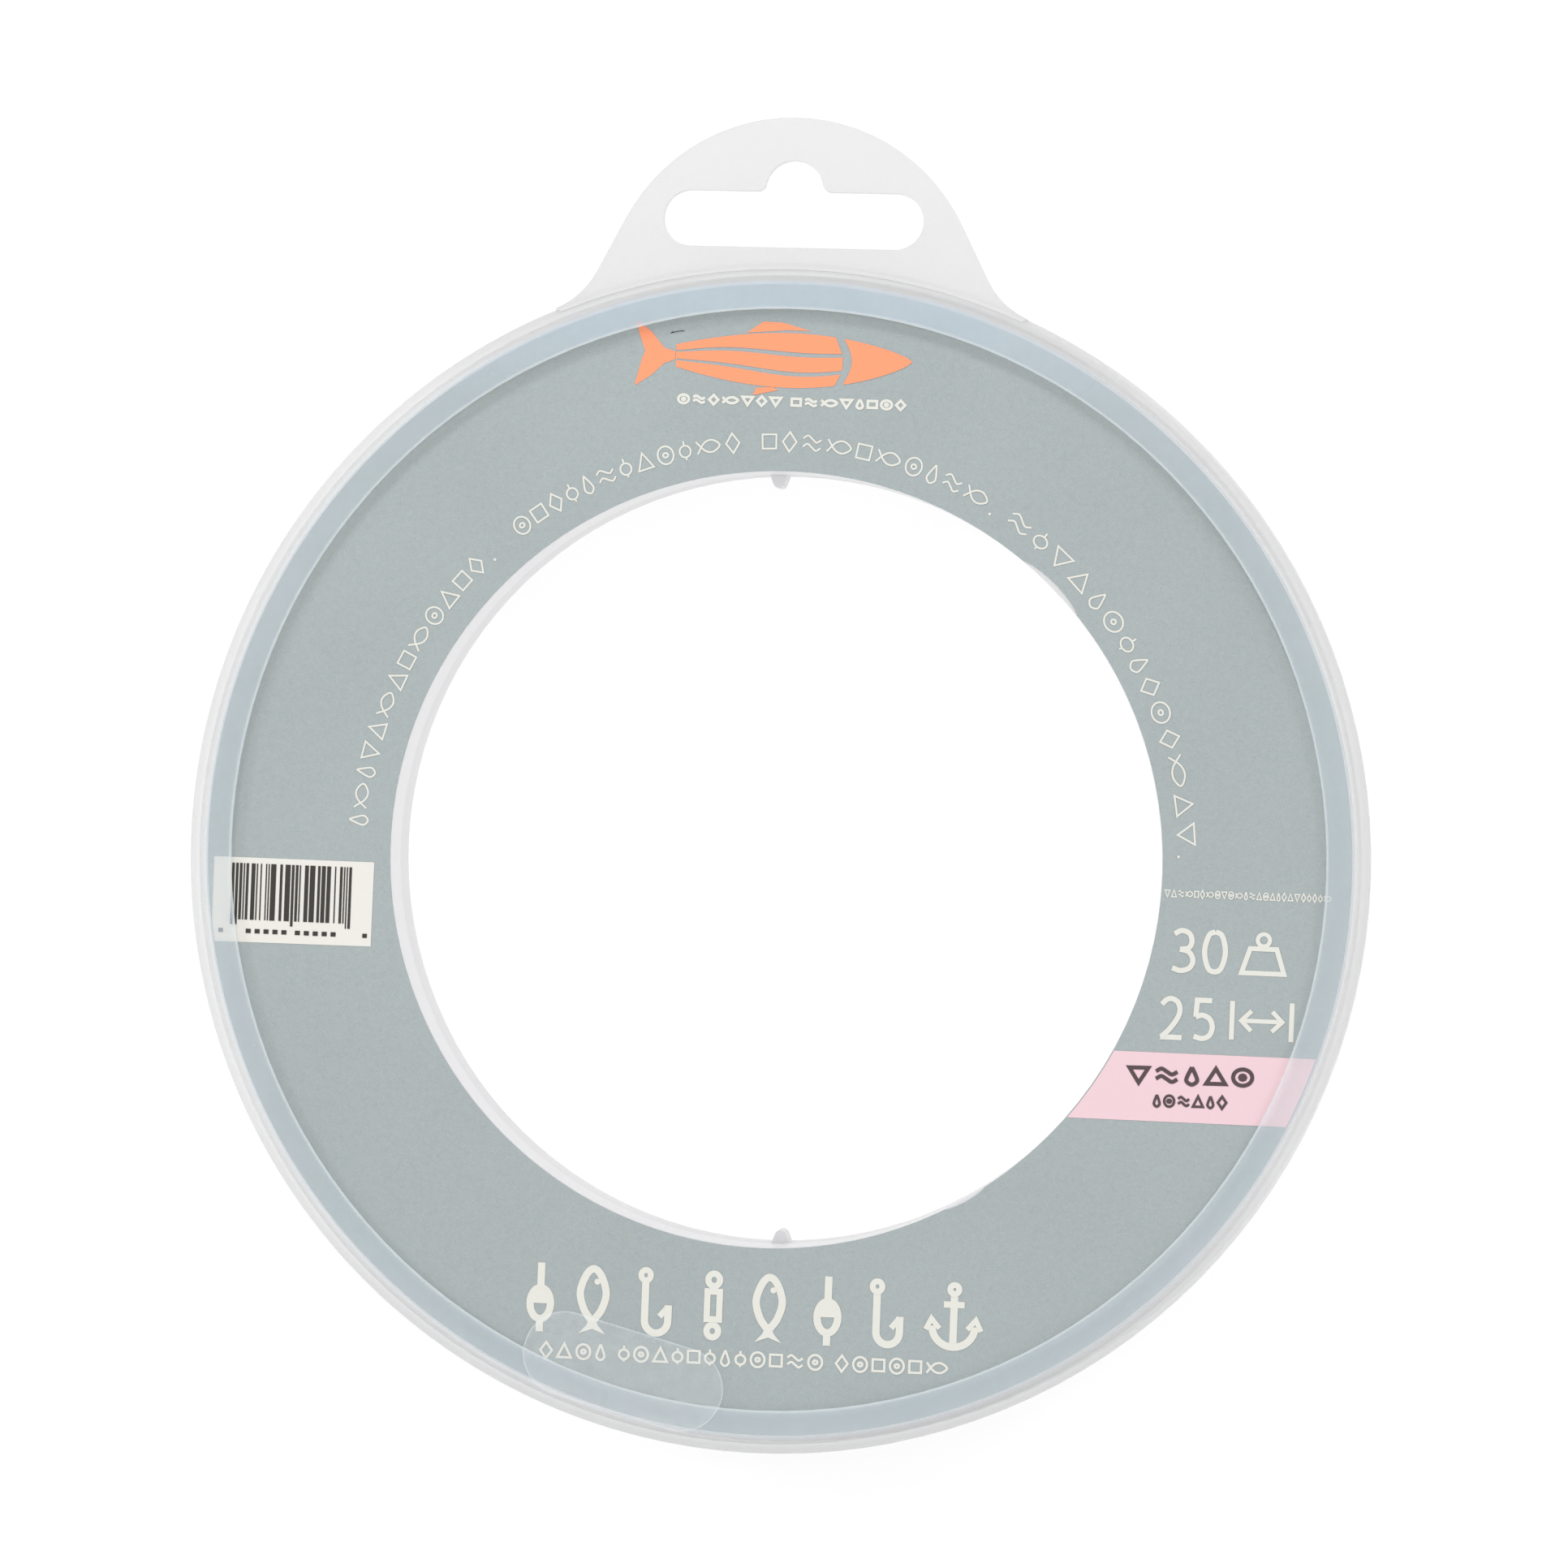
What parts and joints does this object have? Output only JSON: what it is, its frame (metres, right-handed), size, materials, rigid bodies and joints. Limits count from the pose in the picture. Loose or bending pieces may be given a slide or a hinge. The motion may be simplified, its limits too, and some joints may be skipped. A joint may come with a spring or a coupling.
{
  "type": "fishing line spool",
  "caption": "Flat ring spool of leader line that turns inside a frosted channel-section cover ring with a slotted hang tab; ring label on the front, clear seal on the lip.",
  "frame": {"origin": "on the spool's axis at mid-thickness", "axes": "+Z along the spool's axis, out of the labelled front face; +Y from the axis up the hang tab; +X to the right, seen from the front"},
  "size_m": [0.127, 0.1427, 0.0127],
  "materials": {
    "frosted_cover": "frosted translucent polyethylene",
    "seal_film": "clear film",
    "spool_plastic": "moulded natural polystyrene, satin",
    "line": "clear pink-tinted fluorocarbon",
    "tape": "matt film tape",
    "label": "coated paper, grey-green screened print"
  },
  "bodies": {
    "cover": {"cover_ring": "frosted_cover", "wafer_seal": "seal_film"},
    "spool": {"spool_front_half": "spool_plastic", "spool_rear_half": "spool_plastic", "line_winding": "line", "line_end_tape": "tape", "front_label": "label"}
  },
  "joints": [
    {"name": "spool_turn", "type": "hinge", "parent": "cover", "child": "spool", "pos_m": [0, 0, 0], "axis": [0, 0, 1], "continuous": true}
  ]
}
